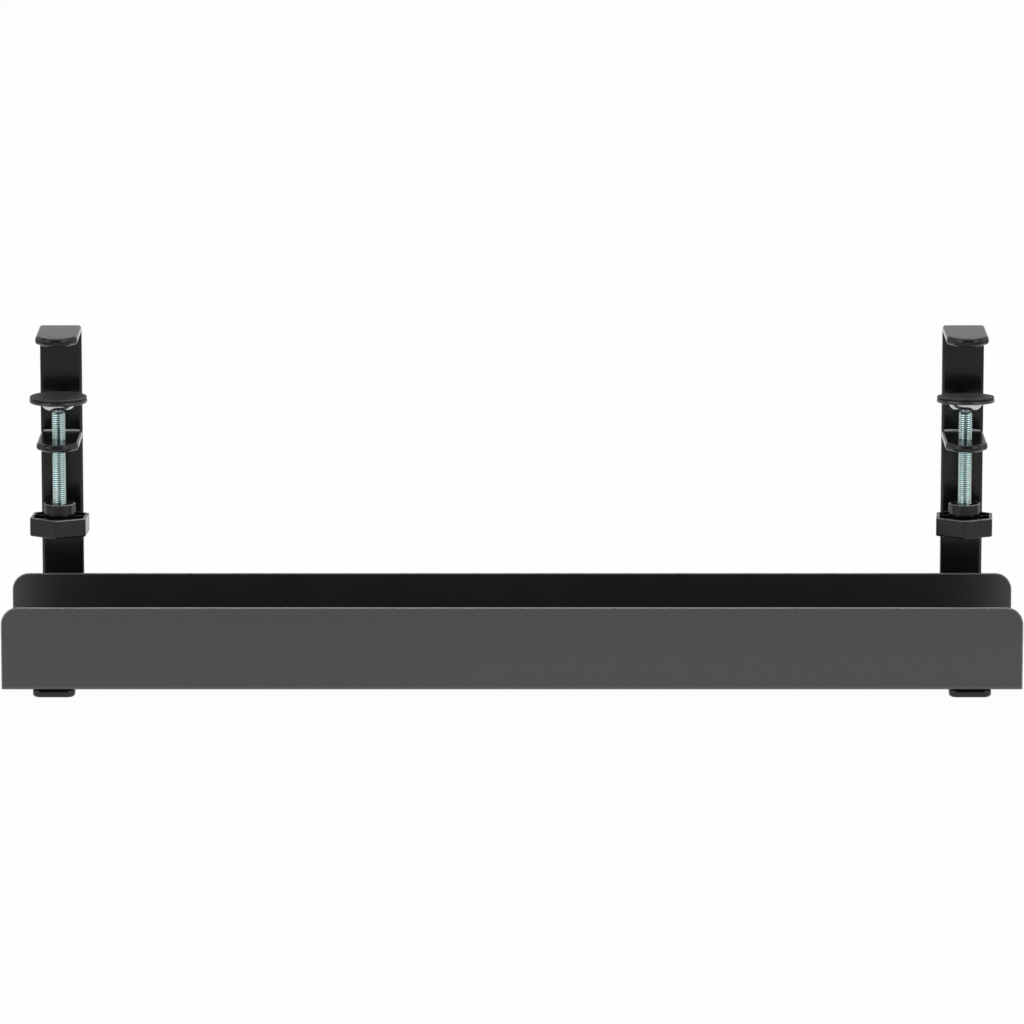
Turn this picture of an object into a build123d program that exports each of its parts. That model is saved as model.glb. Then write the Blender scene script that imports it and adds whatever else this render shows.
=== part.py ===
from build123d import *

import math
import os

# Cable tray that hangs under a desk on two screw clamps.
# Row frame: X along the tray, +Y from the front wall to the arms, +Z up. All sizes in millimetres.
# The origin is under the middle of the whole part, on the plane that the legs stand on.

# Tray, folded from one sheet
tray_length = 600.0
tray_depth = 106.0
tray_height = 49.3
sheet_thickness = 1.5
tray_bend_inside = 0.5
tray_corner_radius = 10.0
tray_edge_round = 0.4

# Clamp brackets, one flat strip each, bent to a C
bracket_end_inset = 30.5
bracket_height = 205.1
strip_width = 25.0
strip_thickness = 5.0
strip_bend_inside = 1.5
strip_edge_round = 1.8
leg_setback = 1.0
leg_corner_radius = 5.0

# Outline of both jaws, seen from above
jaw_reach = 52.0
nose_depth = 9.6
nose_flat = 12.0
nose_tip_radius = 9.4
nose_side_radius = 5.0

# Lower jaw and the bead that joins it to the arm
lower_jaw_top = 141.1
lower_jaw_thickness = 4.4
lower_jaw_edge_round = 1.7
jaw_hole_chamfer = 0.4
weld_leg = 2.2
weld_length = 22.0

# Clamp screw
screw_offset = 28.0
thread_diameter = 8.0
thread_pitch = 1.25
thread_depth = 0.62
thread_crest = 0.2
thread_end = 1.4
jaw_thread_clearance = 0.05

# Ball joint at the screw's top end
ball_radius = 3.5
ball_drop = 2.3
ball_clearance = 0.05
neck_radius = 2.2
neck_gap = 1.1
shank_depth = 7.0
shank_clearance = 0.05

# Pad on the ball
pad_top = 166.9
pad_diameter = 34.5
rubber_thickness = 1.6
rubber_inset = 0.3
rubber_edge_round = 0.5
plate_thickness = 2.2
plate_edge_round = 0.9
cup_rim_radius = 10.0
cup_bottom_radius = 6.5
cup_depth = 4.4
cup_bulge = 0.9
left_pad_tilt = 0.0
right_pad_tilt = -3.5

# Knob
knob_across_flats = 33.4
knob_rim_height = 94.7
knob_height = 11.0
knob_wall = 1.8
knob_floor = 2.5
knob_corner_radius = 2.0
knob_recess_corner_radius = 0.8
knob_bottom_round = 1.0
knob_rim_round = 0.5
knob_turned = -4.0
hub_diameter = 18.6
hub_rise = 7.6
hub_edge_round = 0.5
hub_bore_clearance = 0.1
flute_count = 12
flute_radius = 1.2
flute_depth = 0.45
rib_thickness = 1.6
rib_below_rim = 1.2

# Hex nut in the knob's hub
nut_across_flats = 13.0
nut_height = 6.5
nut_recess = 1.0
nut_pocket_clearance = 0.1
nut_thread_clearance = 0.05
nut_chamfer = 0.7

# Screws and washers that hold the tray to the legs
floor_screw_diameter = 5.0
floor_screw_front_inset = 20.25
floor_screw_rear_inset = 32.75
floor_screw_end_gap = 0.6
floor_hole_clearance = 0.25
floor_thread_clearance = 0.05
screw_head_diameter = 9.5
screw_head_height = 3.2
screw_head_round = 1.6
cross_width = 1.2
cross_length = 5.0
cross_depth = 1.6
washer_diameter = 10.0
washer_thickness = 1.0

# Places that follow from the sizes
front_y = -(tray_depth + strip_thickness) / 2
arm_y = front_y + tray_depth
back_y = arm_y + strip_thickness
leg_front_y = front_y + leg_setback
jaw_tip_y = arm_y - jaw_reach
nose_side_y = jaw_tip_y + nose_depth
screw_y = arm_y - screw_offset
floor_under = strip_thickness
floor_top = floor_under + sheet_thickness
tray_top = floor_under + tray_height
lower_jaw_under = lower_jaw_top - lower_jaw_thickness
plate_under = pad_top - rubber_thickness - plate_thickness
ball_z = plate_under - ball_drop
cup_under = plate_under - cup_depth
shoulder_z = cup_under - neck_gap
thread_radius = thread_diameter / 2
knob_under = knob_rim_height - knob_height
hub_top = knob_rim_height + hub_rise
nut_under = knob_under + nut_recess
clamp_x = tray_length / 2 - bracket_end_inset
clamps = {"left": -clamp_x, "right": clamp_x}
pad_tilts = {"left": left_pad_tilt, "right": right_pad_tilt}
floor_screw_rows = [leg_front_y + floor_screw_front_inset, arm_y - floor_screw_rear_inset]


def finish(piece, label):
    """Names a finished piece and writes it to its own file."""
    piece.part.label = label
    export_step(piece.part, f"parts/{label}.step")


def turning_plane(mid_x, height, tilt=0.0):
    """A plane through the screw's axis, its own Y along the axis, which leans by tilt about X."""
    lean = math.radians(tilt)
    facing = (0, -math.cos(lean), -math.sin(lean))
    return Plane(origin=(mid_x, screw_y, height), x_dir=(1, 0, 0), z_dir=facing)


def axis_of(plane):
    """The line along a turning plane's own Y."""
    return Axis(plane.origin, plane.y_dir)


def jaw_outline(mid_x):
    """The jaws' outline from above: straight sides and a full round nose."""
    half = strip_width / 2
    with BuildSketch(mode=Mode.PRIVATE) as outline:
        with BuildLine():
            Polyline(
                (mid_x - half, arm_y),
                (mid_x - half, nose_side_y),
                (mid_x - nose_flat / 2, jaw_tip_y),
                (mid_x + nose_flat / 2, jaw_tip_y),
                (mid_x + half, nose_side_y),
                (mid_x + half, arm_y),
                close=True,
            )
        make_face()
        fillet(outline.vertices().group_by(Axis.Y)[0], nose_tip_radius)
        side_corners = outline.vertices().filter_by(lambda v: abs(v.Y - nose_side_y) < 0.01)
        fillet(side_corners, nose_side_radius)
    return outline.sketch


def tray_channel():
    """The folded sheet: a U section cut to length, with rounded wall corners and edges."""
    with BuildPart() as tray:
        with BuildSketch(Plane.YZ) as section:
            middle = front_y + tray_depth / 2
            with Locations((middle, floor_under)):
                Rectangle(tray_depth, tray_height, align=(Align.CENTER, Align.MIN))
            with Locations((middle, floor_top)):
                Rectangle(
                    tray_depth - 2 * sheet_thickness,
                    tray_height - sheet_thickness,
                    align=(Align.CENTER, Align.MIN),
                    mode=Mode.SUBTRACT,
                )
            fillet(section.vertices().group_by(Axis.Y)[1], tray_bend_inside)
            fillet(section.vertices().group_by(Axis.Y)[0], tray_bend_inside + sheet_thickness)
        extrude(amount=tray_length / 2, both=True)
        wall_corners = tray.edges().filter_by(Axis.Y).group_by(Axis.Z)[-1]
        fillet(wall_corners, tray_corner_radius)
        across_sheet = tray.edges().filter_by(Axis.Y).filter_by(
            lambda e: e.length < 2 * sheet_thickness
        )
        along_bends = tray.edges().filter_by(Axis.X).filter_by(
            lambda e: e.center().Z < tray_top - tray_corner_radius
        )
        fillet(tray.edges() - across_sheet - along_bends, tray_edge_round)
        with Locations(*[(x, y, floor_top) for x in clamps.values() for y in floor_screw_rows]):
            Hole(floor_screw_diameter / 2 + floor_hole_clearance, depth=2 * sheet_thickness)
    return tray


def clamp_bracket(mid_x):
    """The bent strip: leg under the tray, arm behind it and top jaw over the desk's edge."""
    with BuildPart() as bracket:
        with BuildSketch(Plane.YZ.offset(mid_x)) as profile:
            with Locations((back_y, 0)):
                Rectangle(back_y - leg_front_y, strip_thickness, align=(Align.MAX, Align.MIN))
                Rectangle(strip_thickness, bracket_height, align=(Align.MAX, Align.MIN))
            with Locations((back_y, bracket_height)):
                Rectangle(back_y - jaw_tip_y, strip_thickness, align=(Align.MAX, Align.MAX))
            inner_corners = profile.vertices().filter_by(
                lambda v: abs(v.X - arm_y) < 0.01 and 0 < v.Y < bracket_height
            )
            fillet(inner_corners, strip_bend_inside)
            outer_corners = profile.vertices().group_by(Axis.X)[-1]
            fillet(outer_corners, strip_bend_inside + strip_thickness)
        extrude(amount=strip_width / 2, both=True)
        with BuildSketch(Plane.XY.offset(bracket_height)):
            with Locations((mid_x, jaw_tip_y - 1)):
                Rectangle(
                    strip_width + 2,
                    nose_depth + nose_side_radius + 2,
                    align=(Align.CENTER, Align.MIN),
                )
            add(jaw_outline(mid_x), mode=Mode.SUBTRACT)
        extrude(amount=-strip_thickness, mode=Mode.SUBTRACT)
        leg_corners = bracket.edges().filter_by(Axis.Z).filter_by(
            lambda e: e.center().Y < leg_front_y + 0.01
        )
        fillet(leg_corners, leg_corner_radius)
        across_strip = bracket.edges().filter_by(Axis.Z).filter_by(
            lambda e: e.length < 2 * strip_thickness
        )
        along_bends = bracket.edges().filter_by(Axis.X).filter_by(
            lambda e: e.center().Y > nose_side_y + nose_side_radius
        )
        fillet(bracket.edges() - across_strip - along_bends, strip_edge_round)
        with Locations(*[(mid_x, y, strip_thickness) for y in floor_screw_rows]):
            Hole(floor_screw_diameter / 2, depth=2 * strip_thickness)
    return bracket


def lower_jaw(mid_x):
    """The plate that carries the screw, butted against the arm's front face."""
    with BuildPart() as jaw:
        with BuildSketch(Plane.XY.offset(lower_jaw_under)):
            add(jaw_outline(mid_x))
        extrude(amount=lower_jaw_thickness)
        upright = jaw.edges().filter_by(Axis.Z)
        at_arm = jaw.edges().filter_by(lambda e: e.center().Y > arm_y - 0.01)
        fillet(jaw.edges() - upright - at_arm, lower_jaw_edge_round)
        with Locations((mid_x, screw_y, lower_jaw_top)):
            Hole(thread_radius + jaw_thread_clearance, depth=2 * lower_jaw_thickness)
        hole_rims = jaw.edges().filter_by(GeomType.CIRCLE).filter_by(
            lambda e: abs(e.radius - thread_radius - jaw_thread_clearance) < 0.01
        )
        chamfer(hole_rims, jaw_hole_chamfer)
    return jaw


def jaw_weld(mid_x):
    """The bead in the corner between the arm and the lower jaw's top, with round ends."""
    straight = weld_length - 2 * weld_leg
    with BuildPart() as weld:
        with Locations((mid_x, arm_y, lower_jaw_top)):
            Cylinder(weld_leg, straight, rotation=(0, 90, 0))
        with Locations(
            (mid_x - straight / 2, arm_y, lower_jaw_top),
            (mid_x + straight / 2, arm_y, lower_jaw_top),
        ):
            Sphere(weld_leg)
        with Locations((mid_x, arm_y, lower_jaw_top)):
            Box(
                weld_length,
                weld_leg,
                weld_leg,
                align=(Align.CENTER, Align.MAX, Align.MIN),
                mode=Mode.INTERSECT,
            )
    return weld


def clamp_screw(mid_x):
    """The threaded rod, its thread as rings, with a bore in its top end for the ball stud."""
    plane = turning_plane(mid_x, 0)
    bore_radius = neck_radius + shank_clearance
    bore_floor = shoulder_z - shank_depth
    root = thread_radius - thread_depth
    flank = (thread_pitch - thread_crest) / 2
    turns = int((shoulder_z - nut_under - 2 * thread_end) / thread_pitch)
    outline = [(0, nut_under), (root, nut_under), (thread_radius, nut_under + thread_end)]
    for turn in range(turns):
        crest = nut_under + thread_end + turn * thread_pitch
        outline.append((thread_radius, crest + thread_crest))
        outline.append((root, crest + thread_crest + flank))
        outline.append((thread_radius, crest + thread_pitch))
    outline += [(thread_radius, shoulder_z - thread_depth), (root, shoulder_z)]
    outline += [(bore_radius, shoulder_z), (bore_radius, bore_floor), (0, bore_floor)]
    with BuildPart() as screw:
        with BuildSketch(plane):
            with BuildLine():
                Polyline(*outline, close=True)
            make_face()
        revolve(axis=axis_of(plane))
    return screw


def ball_stud(mid_x):
    """The ball with its neck and the shank that stands in the screw's bore."""
    plane = turning_plane(mid_x, ball_z)
    join = -math.sqrt(ball_radius**2 - neck_radius**2)
    shank_end = shoulder_z - shank_depth + shank_clearance - ball_z
    with BuildPart() as stud:
        with BuildSketch(plane):
            with BuildLine():
                Polyline((0, ball_radius), (0, shank_end), (neck_radius, shank_end), (neck_radius, join))
                ThreePointArc((neck_radius, join), (ball_radius, 0), (0, ball_radius))
            make_face()
        revolve(axis=axis_of(plane))
    return stud


def socket_cup(mid_x, tilt):
    """The cup under the pad plate, which closes under the ball."""
    plane = turning_plane(mid_x, ball_z, tilt)
    seat = ball_radius + ball_clearance
    bottom = ball_drop - cup_depth
    mouth = math.sqrt(seat**2 - bottom**2)
    seat_side = (seat * math.cos(math.pi / 8), -seat * math.sin(math.pi / 8))
    with BuildPart() as cup:
        with BuildSketch(plane):
            with BuildLine():
                Polyline((seat, 0), (seat, ball_drop), (cup_rim_radius, ball_drop))
                SagittaArc((cup_rim_radius, ball_drop), (cup_bottom_radius, bottom), cup_bulge)
                Line((cup_bottom_radius, bottom), (mouth, bottom))
                ThreePointArc((mouth, bottom), seat_side, (seat, 0))
            make_face()
        revolve(axis=axis_of(plane))
    return cup


def pad_plate(mid_x, tilt):
    """The steel disc, with a dimple that the ball's top bears in."""
    plane = Plane(origin=(mid_x, screw_y, ball_z)).rotated((tilt, 0, 0))
    with BuildPart() as plate:
        with BuildSketch(plane.offset(ball_drop)):
            Circle(pad_diameter / 2)
        extrude(amount=plate_thickness)
        fillet(plate.edges(), plate_edge_round)
        with Locations(plane.location):
            Sphere(ball_radius + ball_clearance, mode=Mode.SUBTRACT)
    return plate


def rubber_pad(mid_x, tilt):
    """The rubber disc that presses on the desk from below."""
    plane = Plane(origin=(mid_x, screw_y, ball_z)).rotated((tilt, 0, 0))
    with BuildPart() as rubber:
        with BuildSketch(plane.offset(ball_drop + plate_thickness)):
            Circle(pad_diameter / 2 - rubber_inset)
        extrude(amount=rubber_thickness)
        fillet(rubber.edges(), rubber_edge_round)
    return rubber


def knob(mid_x):
    """The six-sided cup with its fluted hub, six ribs and a pocket for the nut below."""
    corner_up = 30 + knob_turned
    hub_radius = hub_diameter / 2
    recess_floor = knob_under + knob_floor
    pocket_depth = nut_recess + nut_height + nut_pocket_clearance
    with BuildPart() as body:
        with BuildSketch(Plane((mid_x, screw_y, knob_under))) as hexagon:
            RegularPolygon(knob_across_flats / 2, 6, major_radius=False, rotation=corner_up)
            fillet(hexagon.vertices(), knob_corner_radius)
        extrude(amount=knob_height)
        fillet(body.faces().sort_by(Axis.Z)[0].edges(), knob_bottom_round)
        with BuildSketch(Plane((mid_x, screw_y, recess_floor))) as recess:
            RegularPolygon(
                knob_across_flats / 2 - knob_wall, 6, major_radius=False, rotation=corner_up
            )
            fillet(recess.vertices(), knob_recess_corner_radius)
        extrude(amount=knob_height, mode=Mode.SUBTRACT)
        fillet(body.faces().sort_by(Axis.Z)[-1].outer_wire().edges(), knob_rim_round)
        with BuildSketch(Plane((mid_x, screw_y, recess_floor))):
            with PolarLocations(0, 6, start_angle=corner_up):
                Rectangle(
                    knob_across_flats / 2 + knob_wall / 2,
                    rib_thickness,
                    align=(Align.MIN, Align.CENTER),
                )
        extrude(amount=knob_rim_height - rib_below_rim - recess_floor)
        with BuildSketch(Plane((mid_x, screw_y, recess_floor))):
            Circle(hub_radius)
            with PolarLocations(
                hub_radius + flute_radius - flute_depth, flute_count, start_angle=180 / flute_count
            ):
                Circle(flute_radius, mode=Mode.SUBTRACT)
        extrude(amount=hub_top - recess_floor)
        fillet(body.faces().sort_by(Axis.Z)[-1].outer_wire().edges(), hub_edge_round)
        with BuildSketch(Plane((mid_x, screw_y, knob_under))):
            RegularPolygon(
                nut_across_flats / 2 + nut_pocket_clearance, 6, major_radius=False, rotation=corner_up
            )
        extrude(amount=pocket_depth, mode=Mode.SUBTRACT)
        with Locations((mid_x, screw_y, hub_top)):
            Hole(thread_radius + hub_bore_clearance, depth=hub_top - knob_under)
    return body


def knob_nut(mid_x):
    """The hex nut in the knob's pocket, its corners cut back at both ends."""
    with BuildPart() as nut:
        with BuildSketch(Plane((mid_x, screw_y, nut_under))):
            Circle(nut_across_flats / math.sqrt(3))
        extrude(amount=nut_height)
        chamfer(nut.edges(), nut_chamfer)
        with BuildSketch(Plane((mid_x, screw_y, nut_under))):
            RegularPolygon(nut_across_flats / 2, 6, major_radius=False, rotation=30 + knob_turned)
        extrude(amount=nut_height, mode=Mode.INTERSECT)
        with Locations((mid_x, screw_y, nut_under + nut_height)):
            Hole(thread_radius + nut_thread_clearance, depth=nut_height)
    return nut


def floor_screws(mid_x):
    """The pan head screws from the tray's floor into one leg, with a cross recess each."""
    seat = floor_top + washer_thickness
    top = seat + screw_head_height
    places = [(mid_x, y) for y in floor_screw_rows]
    with BuildPart() as screws:
        with BuildSketch(Plane.XY.offset(floor_screw_end_gap)):
            with Locations(*places):
                Circle(floor_screw_diameter / 2 - floor_thread_clearance)
        extrude(amount=seat - floor_screw_end_gap)
        with BuildSketch(Plane.XY.offset(seat)):
            with Locations(*places):
                Circle(screw_head_diameter / 2)
        extrude(amount=screw_head_height)
        fillet(screws.edges().group_by(Axis.Z)[-1], screw_head_round)
        with BuildSketch(Plane.XY.offset(top)):
            with Locations(*places):
                Rectangle(cross_length, cross_width)
                Rectangle(cross_width, cross_length)
        extrude(amount=-cross_depth, mode=Mode.SUBTRACT)
    return screws


def floor_washers(mid_x):
    """The plain washers under the heads of one leg's screws."""
    with BuildPart() as washers:
        with BuildSketch(Plane.XY.offset(floor_top)):
            with Locations(*[(mid_x, y) for y in floor_screw_rows]):
                Circle(washer_diameter / 2)
                Circle(floor_screw_diameter / 2 + floor_hole_clearance, mode=Mode.SUBTRACT)
        extrude(amount=washer_thickness)
    return washers


os.makedirs("parts", exist_ok=True)
finish(tray_channel(), "tray_channel")
for side, mid_x in clamps.items():
    finish(clamp_bracket(mid_x), f"{side}_bracket")
    finish(lower_jaw(mid_x), f"{side}_lower_jaw")
    finish(jaw_weld(mid_x), f"{side}_jaw_weld")
    finish(clamp_screw(mid_x), f"{side}_clamp_screw")
    finish(ball_stud(mid_x), f"{side}_ball_stud")
    finish(socket_cup(mid_x, pad_tilts[side]), f"{side}_socket_cup")
    finish(pad_plate(mid_x, pad_tilts[side]), f"{side}_pad_plate")
    finish(rubber_pad(mid_x, pad_tilts[side]), f"{side}_rubber_pad")
    finish(knob(mid_x), f"{side}_knob")
    finish(knob_nut(mid_x), f"{side}_knob_nut")
    finish(floor_screws(mid_x), f"{side}_floor_screws")
    finish(floor_washers(mid_x), f"{side}_floor_washers")
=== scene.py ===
"""Finished look of an under desk cable tray that hangs on two screw clamps.

Lengths are in metres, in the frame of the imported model: X along the tray, +Y from the tray's front wall
to the brackets' arms, +Z up, the legs' undersides at height zero.
"""

import logging
import math
from dataclasses import dataclass
from enum import Enum
from typing import Sequence, Union

import bmesh
import bpy
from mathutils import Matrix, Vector


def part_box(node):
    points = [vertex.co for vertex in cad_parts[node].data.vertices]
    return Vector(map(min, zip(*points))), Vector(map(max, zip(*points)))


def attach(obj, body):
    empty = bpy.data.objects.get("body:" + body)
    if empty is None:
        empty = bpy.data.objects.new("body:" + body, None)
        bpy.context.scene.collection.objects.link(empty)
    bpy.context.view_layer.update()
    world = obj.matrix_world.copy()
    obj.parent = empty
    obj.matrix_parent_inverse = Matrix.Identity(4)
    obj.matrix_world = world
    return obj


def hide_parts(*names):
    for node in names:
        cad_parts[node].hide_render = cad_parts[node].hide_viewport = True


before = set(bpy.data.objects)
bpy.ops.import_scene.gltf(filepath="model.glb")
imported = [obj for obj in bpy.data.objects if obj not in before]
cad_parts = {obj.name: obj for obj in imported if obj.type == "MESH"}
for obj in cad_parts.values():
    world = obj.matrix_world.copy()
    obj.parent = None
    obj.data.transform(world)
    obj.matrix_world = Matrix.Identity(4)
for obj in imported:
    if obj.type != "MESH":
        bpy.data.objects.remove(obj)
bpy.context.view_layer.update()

MM = 0.001
CREASE = math.radians(38)
TOLERANCE = 0.001 * MM
CLEAR_SKIN_IOR = 1.9
CLEAR_SKIN_ROUGHNESS = 0.08
Colour = tuple[float, float, float]
Pair = tuple[float, float]
Socket = Union[bpy.types.NodeSocket, float, Colour]
WHITE: Colour = (1.0, 1.0, 1.0)

log = logging.getLogger("cable_tray")


class Side(Enum):
    """One of the two clamps, seen from the front."""

    LEFT = "left"
    RIGHT = "right"


class Slot(Enum):
    """The record's material slots that the pieces made here belong to."""

    COAT = "powder_coated_steel"
    ZINC = "zinc_plated_steel"


class NodeTree:
    """Adds and links the nodes of one material, group or world."""

    def __init__(self, tree: bpy.types.NodeTree) -> None:
        """Empties the tree that is to be filled."""
        self.tree = tree
        tree.nodes.clear()

    def add(self, kind: str, inputs: dict[str, Socket] | None = None, **settings: object) -> bpy.types.Node:
        """Adds a node.

        Args:
            kind: The node's type name, without the word ShaderNode for shader nodes.
            inputs: Values or sockets for the node's inputs, by name, or by place as "#0".
            **settings: The node's own properties.

        Returns:
            The new node.
        """
        plain = kind.startswith("NodeGroup")
        node = self.tree.nodes.new(kind if plain else f"ShaderNode{kind}")
        for key, value in settings.items():
            setattr(node, key, value)
        for key, value in (inputs or {}).items():
            socket = node.inputs[int(key[1:])] if key.startswith("#") else node.inputs[key]
            self.feed(socket, value)
        return node

    def feed(self, socket: bpy.types.NodeSocket, value: Socket) -> None:
        """Links a socket into an input, or sets the input's value.

        Args:
            socket: The input.
            value: A socket, a number or a colour.
        """
        if isinstance(value, bpy.types.NodeSocket):
            self.tree.links.new(value, socket)
        elif isinstance(value, tuple) and len(value) < len(socket.default_value):
            socket.default_value = (*value, 1.0)
        else:
            socket.default_value = value

    def math(self, operation: str, first: Socket, second: Socket = 0.0) -> bpy.types.NodeSocket:
        """Adds a math node for one or two values and returns its result."""
        return self.add("Math", {"#0": first, "#1": second}, operation=operation).outputs[0]

    def span(self, value: Socket, start: Pair, end: Pair = (0.0, 1.0)) -> bpy.types.NodeSocket:
        """Maps a value from one range to another, with soft ends.

        Args:
            value: The value.
            start: The two values that count as none and all of it.
            end: What these become.

        Returns:
            The mapped value.
        """
        ends = {"From Min": start[0], "From Max": start[1], "To Min": end[0], "To Max": end[1]}
        node = self.add("MapRange", {"Value": value, **ends}, interpolation_type="SMOOTHSTEP")
        return node.outputs["Result"]

    def noise(self, size: Socket, detail: float, roughness: float = 0.5) -> bpy.types.NodeSocket:
        """Adds noise that stays with the object.

        Args:
            size: Its grain in millimetres.
            detail: How many finer layers it has.
            roughness: How strong these are.

        Returns:
            The noise, from 0 to 1.
        """
        place = self.add("TexCoord").outputs["Object"]
        grain = {"Vector": place, "Scale": self.math("DIVIDE", 1000.0, size)}
        return self.add("TexNoise", {**grain, "Detail": detail, "Roughness": roughness}).outputs[0]

    def upward(self) -> bpy.types.NodeSocket:
        """How far the surface looks up, from -1 to 1."""
        normal = self.add("NewGeometry").outputs["Normal"]
        return self.add("SeparateXYZ", {"Vector": normal}).outputs["Z"]

    def mix(self, share: Socket, first: Socket, second: Socket) -> bpy.types.NodeSocket:
        """Mixes two colours.

        Args:
            share: How much of the second shows.
            first: The colour at share 0.
            second: The colour at share 1.

        Returns:
            The mixed colour.
        """
        node = self.add("Mix", data_type="RGBA")
        self.feed(node.inputs["Factor"], share)
        self.feed([i for i in node.inputs if i.name == "A" and i.type == "RGBA"][0], first)
        self.feed([i for i in node.inputs if i.name == "B" and i.type == "RGBA"][0], second)
        return [o for o in node.outputs if o.type == "RGBA"][0]


class EffectGroup:
    """A surface effect as a node group that several materials share."""

    name = ""
    inputs: tuple[tuple[str, float], ...] = ()
    outputs: tuple[str, ...] = ()

    def tree(self) -> bpy.types.NodeTree:
        """The group's tree, made the first time that it is asked for."""
        found = bpy.data.node_groups.get(self.name)
        if found is not None:
            return found
        tree = bpy.data.node_groups.new(self.name, "ShaderNodeTree")
        for label, value in self.inputs:
            socket = tree.interface.new_socket(label, in_out="INPUT", socket_type="NodeSocketFloat")
            socket.default_value = value
        for label in self.outputs:
            tree.interface.new_socket(label, in_out="OUTPUT", socket_type="NodeSocketFloat")
        nodes = NodeTree(tree)
        source = nodes.add("NodeGroupInput")
        self.fill(nodes, source.outputs, nodes.add("NodeGroupOutput").inputs)
        return tree

    def fill(self, nodes: NodeTree, given: Sequence, result: Sequence) -> None:
        """Adds the nodes between the sockets that the group is given and those of its results."""
        raise NotImplementedError

    def place(self, nodes: NodeTree, **values: Socket) -> Sequence:
        """Places the group in a material.

        Args:
            nodes: The material's tree.
            **values: The group's inputs, by name with underscores for spaces.

        Returns:
            The group's outputs, by name.
        """
        node = nodes.add("Group", node_tree=self.tree())
        for key, value in values.items():
            nodes.feed(node.inputs[key.replace("_", " ")], value)
        return node.outputs


class CoatTexture(EffectGroup):
    """The soft waves of a sprayed coat, with the grain of its powder on top."""

    name = "coat_texture"
    inputs = (("Wave Size", 1.8), ("Grain Size", 0.25), ("Grain Share", 0.35))
    outputs = ("Height", "Grain")

    def fill(self, nodes: NodeTree, given: Sequence, result: Sequence) -> None:
        """Adds two layers of noise, sized in millimetres."""
        waves = nodes.noise(given["Wave Size"], 1.0)
        grain = nodes.noise(given["Grain Size"], 2.0)
        fine = nodes.math("MULTIPLY", grain, given["Grain Share"])
        nodes.feed(result["Height"], nodes.math("ADD", waves, fine))
        nodes.feed(result["Grain"], grain)


class Drift(EffectGroup):
    """Slow change of tone over a surface, from 0 to 1."""

    name = "drift"
    inputs = (("Size", 40.0),)
    outputs = ("Value",)

    def fill(self, nodes: NodeTree, given: Sequence, result: Sequence) -> None:
        """Adds one layer of wide noise, sized in millimetres."""
        nodes.feed(result["Value"], nodes.span(nodes.noise(given["Size"], 3.0, 0.55), (0.3, 0.7)))


class EdgeMask(EffectGroup):
    """Where a surface turns over an edge, broken up a little."""

    name = "edge_mask"
    inputs = (("Radius", 0.6), ("Strength", 1.0), ("Break Size", 10 / 9))
    outputs = ("Mask",)

    def fill(self, nodes: NodeTree, given: Sequence, result: Sequence) -> None:
        """Compares the true normal with one rounded over the radius, both sizes in millimetres."""
        radius = nodes.math("MULTIPLY", given["Radius"], MM)
        rounded = nodes.add("Bevel", {"Radius": radius}, samples=4)
        flat = nodes.add("NewGeometry").outputs["Normal"]
        dot = nodes.add("VectorMath", {"#0": rounded.outputs[0], "#1": flat}, operation="DOT_PRODUCT")
        turned = nodes.span(dot.outputs["Value"], (0.998, 0.95))
        broken = nodes.span(nodes.noise(given["Break Size"], 2.0), (0.3, 0.6), (0.4, 1.0))
        mask = nodes.math("MULTIPLY", turned, broken)
        nodes.feed(result["Mask"], nodes.math("MULTIPLY", mask, given["Strength"]))


class SettledDust(EffectGroup):
    """The thin dust that lies on faces that look up."""

    name = "settled_dust"
    inputs = (("Amount", 0.2), ("Size", 6.0))
    outputs = ("Mask",)

    def fill(self, nodes: NodeTree, given: Sequence, result: Sequence) -> None:
        """Multiplies how far a face looks up with patchy noise, sized in millimetres."""
        level = nodes.span(nodes.upward(), (0.6, 1.0))
        patches = nodes.span(nodes.noise(given["Size"], 6.0, 0.7), (0.4, 0.75))
        mask = nodes.math("MULTIPLY", level, patches)
        nodes.feed(result["Mask"], nodes.math("MULTIPLY", mask, given["Amount"]))


class FineLines(EffectGroup):
    """Hair lines that handling and turning leave, with so many to a metre across and along them."""

    name = "fine_lines"
    inputs = (("Across", 6000.0), ("Along", 300.0))
    outputs = ("Value",)

    def fill(self, nodes: NodeTree, given: Sequence, result: Sequence) -> None:
        """Stretches noise in the level direction, so that the lines run round an upright part."""
        place = nodes.add("TexCoord").outputs["Object"]
        scale = nodes.add("CombineXYZ", {"X": given["Along"], "Y": given["Along"], "Z": given["Across"]})
        stretched = nodes.add("VectorMath", {"#0": place, "#1": scale.outputs[0]}, operation="MULTIPLY")
        noise = nodes.add("TexNoise", {"Vector": stretched.outputs[0], "Scale": 1.0, "Detail": 2.0})
        nodes.feed(result["Value"], noise.outputs[0])


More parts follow.
